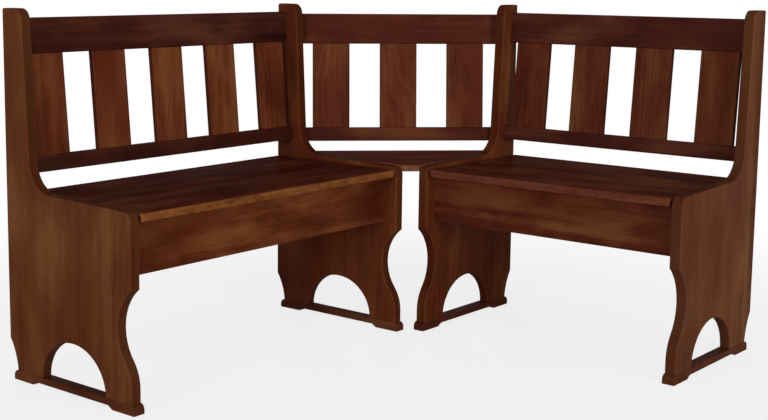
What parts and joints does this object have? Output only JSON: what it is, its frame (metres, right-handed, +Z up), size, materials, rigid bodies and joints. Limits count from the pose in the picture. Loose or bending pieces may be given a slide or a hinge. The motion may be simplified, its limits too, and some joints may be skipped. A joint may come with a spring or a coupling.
{
  "type": "corner storage bench",
  "caption": "L-shaped wooden dining nook bench with leaning slatted backs, a fixed corner seat and seat lids that hinge up over storage boxes.",
  "frame": {"origin": "on the floor, under the centre of the overall bounding box", "axes": "+X along the long bench towards the room corner, +Y towards the wall behind the long bench, +Z up; the short bench's wall is at +X"},
  "size_m": [1.436, 1.222, 0.877],
  "materials": {
    "end_panel_wood": "satin brown stain, vertical grain",
    "runner_wood": "satin brown stain",
    "rail_wood": "satin dark red-brown stain",
    "slat_wood": "satin red-brown stain, vertical grain",
    "seat_wood": "satin dark red-brown stain, lengthwise grain",
    "apron_wood": "satin dark brown stain",
    "box_wood": "thin brown stain",
    "box_plywood": "bare plywood",
    "dowel_wood": "bare beech",
    "hinge_steel": "zinc-plated",
    "bracket_steel": "zinc-plated",
    "screw_steel": "zinc-plated",
    "bumper_rubber": "matte"
  },
  "bodies": {
    "frame": {"box_hinge_screws": "screw_steel", "bracket_screws": "screw_steel", "corner_bottom_rail": "rail_wood", "corner_seat": "seat_wood", "corner_seat_cleats": "box_wood", "corner_seat_screws": "screw_steel", "corner_slat_1": "slat_wood", "corner_slat_2": "slat_wood", "corner_slat_3": "slat_wood", "corner_top_rail": "rail_wood", "lid_bumpers": "bumper_rubber", "long_apron": "apron_wood", "long_bottom_cleats": "box_wood", "long_bottom_rail": "rail_wood", "long_box_back": "box_wood", "long_box_bottom": "box_plywood", "long_box_brackets": "bracket_steel", "long_hinge_box_leaves": "hinge_steel", "long_hinge_pins": "hinge_steel", "long_inner_panel": "end_panel_wood", "long_inner_runner": "runner_wood", "long_outer_panel": "end_panel_wood", "long_outer_runner": "runner_wood", "long_slat_1": "slat_wood", "long_slat_2": "slat_wood", "long_slat_3": "slat_wood", "long_slat_4": "slat_wood", "long_slat_5": "slat_wood", "long_top_rail": "rail_wood", "rail_dowels": "dowel_wood", "runner_screws": "screw_steel", "short_apron": "apron_wood", "short_bottom_cleats": "box_wood", "short_bottom_rail": "rail_wood", "short_box_back": "box_wood", "short_box_bottom": "box_plywood", "short_box_brackets": "bracket_steel", "short_hinge_box_leaves": "hinge_steel", "short_hinge_pins": "hinge_steel", "short_inner_panel": "end_panel_wood", "short_inner_runner": "runner_wood", "short_outer_panel": "end_panel_wood", "short_outer_runner": "runner_wood", "short_slat_1": "slat_wood", "short_slat_2": "slat_wood", "short_slat_3": "slat_wood", "short_slat_4": "slat_wood", "short_top_rail": "rail_wood"},
    "long_lid": {"long_seat_lid": "seat_wood", "long_hinge_lid_leaves": "hinge_steel", "long_lid_hinge_screws": "screw_steel"},
    "short_lid": {"short_seat_lid": "seat_wood", "short_hinge_lid_leaves": "hinge_steel", "short_lid_hinge_screws": "screw_steel"}
  },
  "joints": [
    {"name": "long_lid_hinge", "type": "hinge", "parent": "frame", "child": "long_lid", "pos_m": [-0.229, 0.52528, 0.42], "axis": [-1, 0, 0], "range_deg": [0, 90]},
    {"name": "short_lid_hinge", "type": "hinge", "parent": "frame", "child": "short_lid", "pos_m": [0.63228, -0.229, 0.42], "axis": [0, 1, 0], "range_deg": [0, 90]}
  ]
}
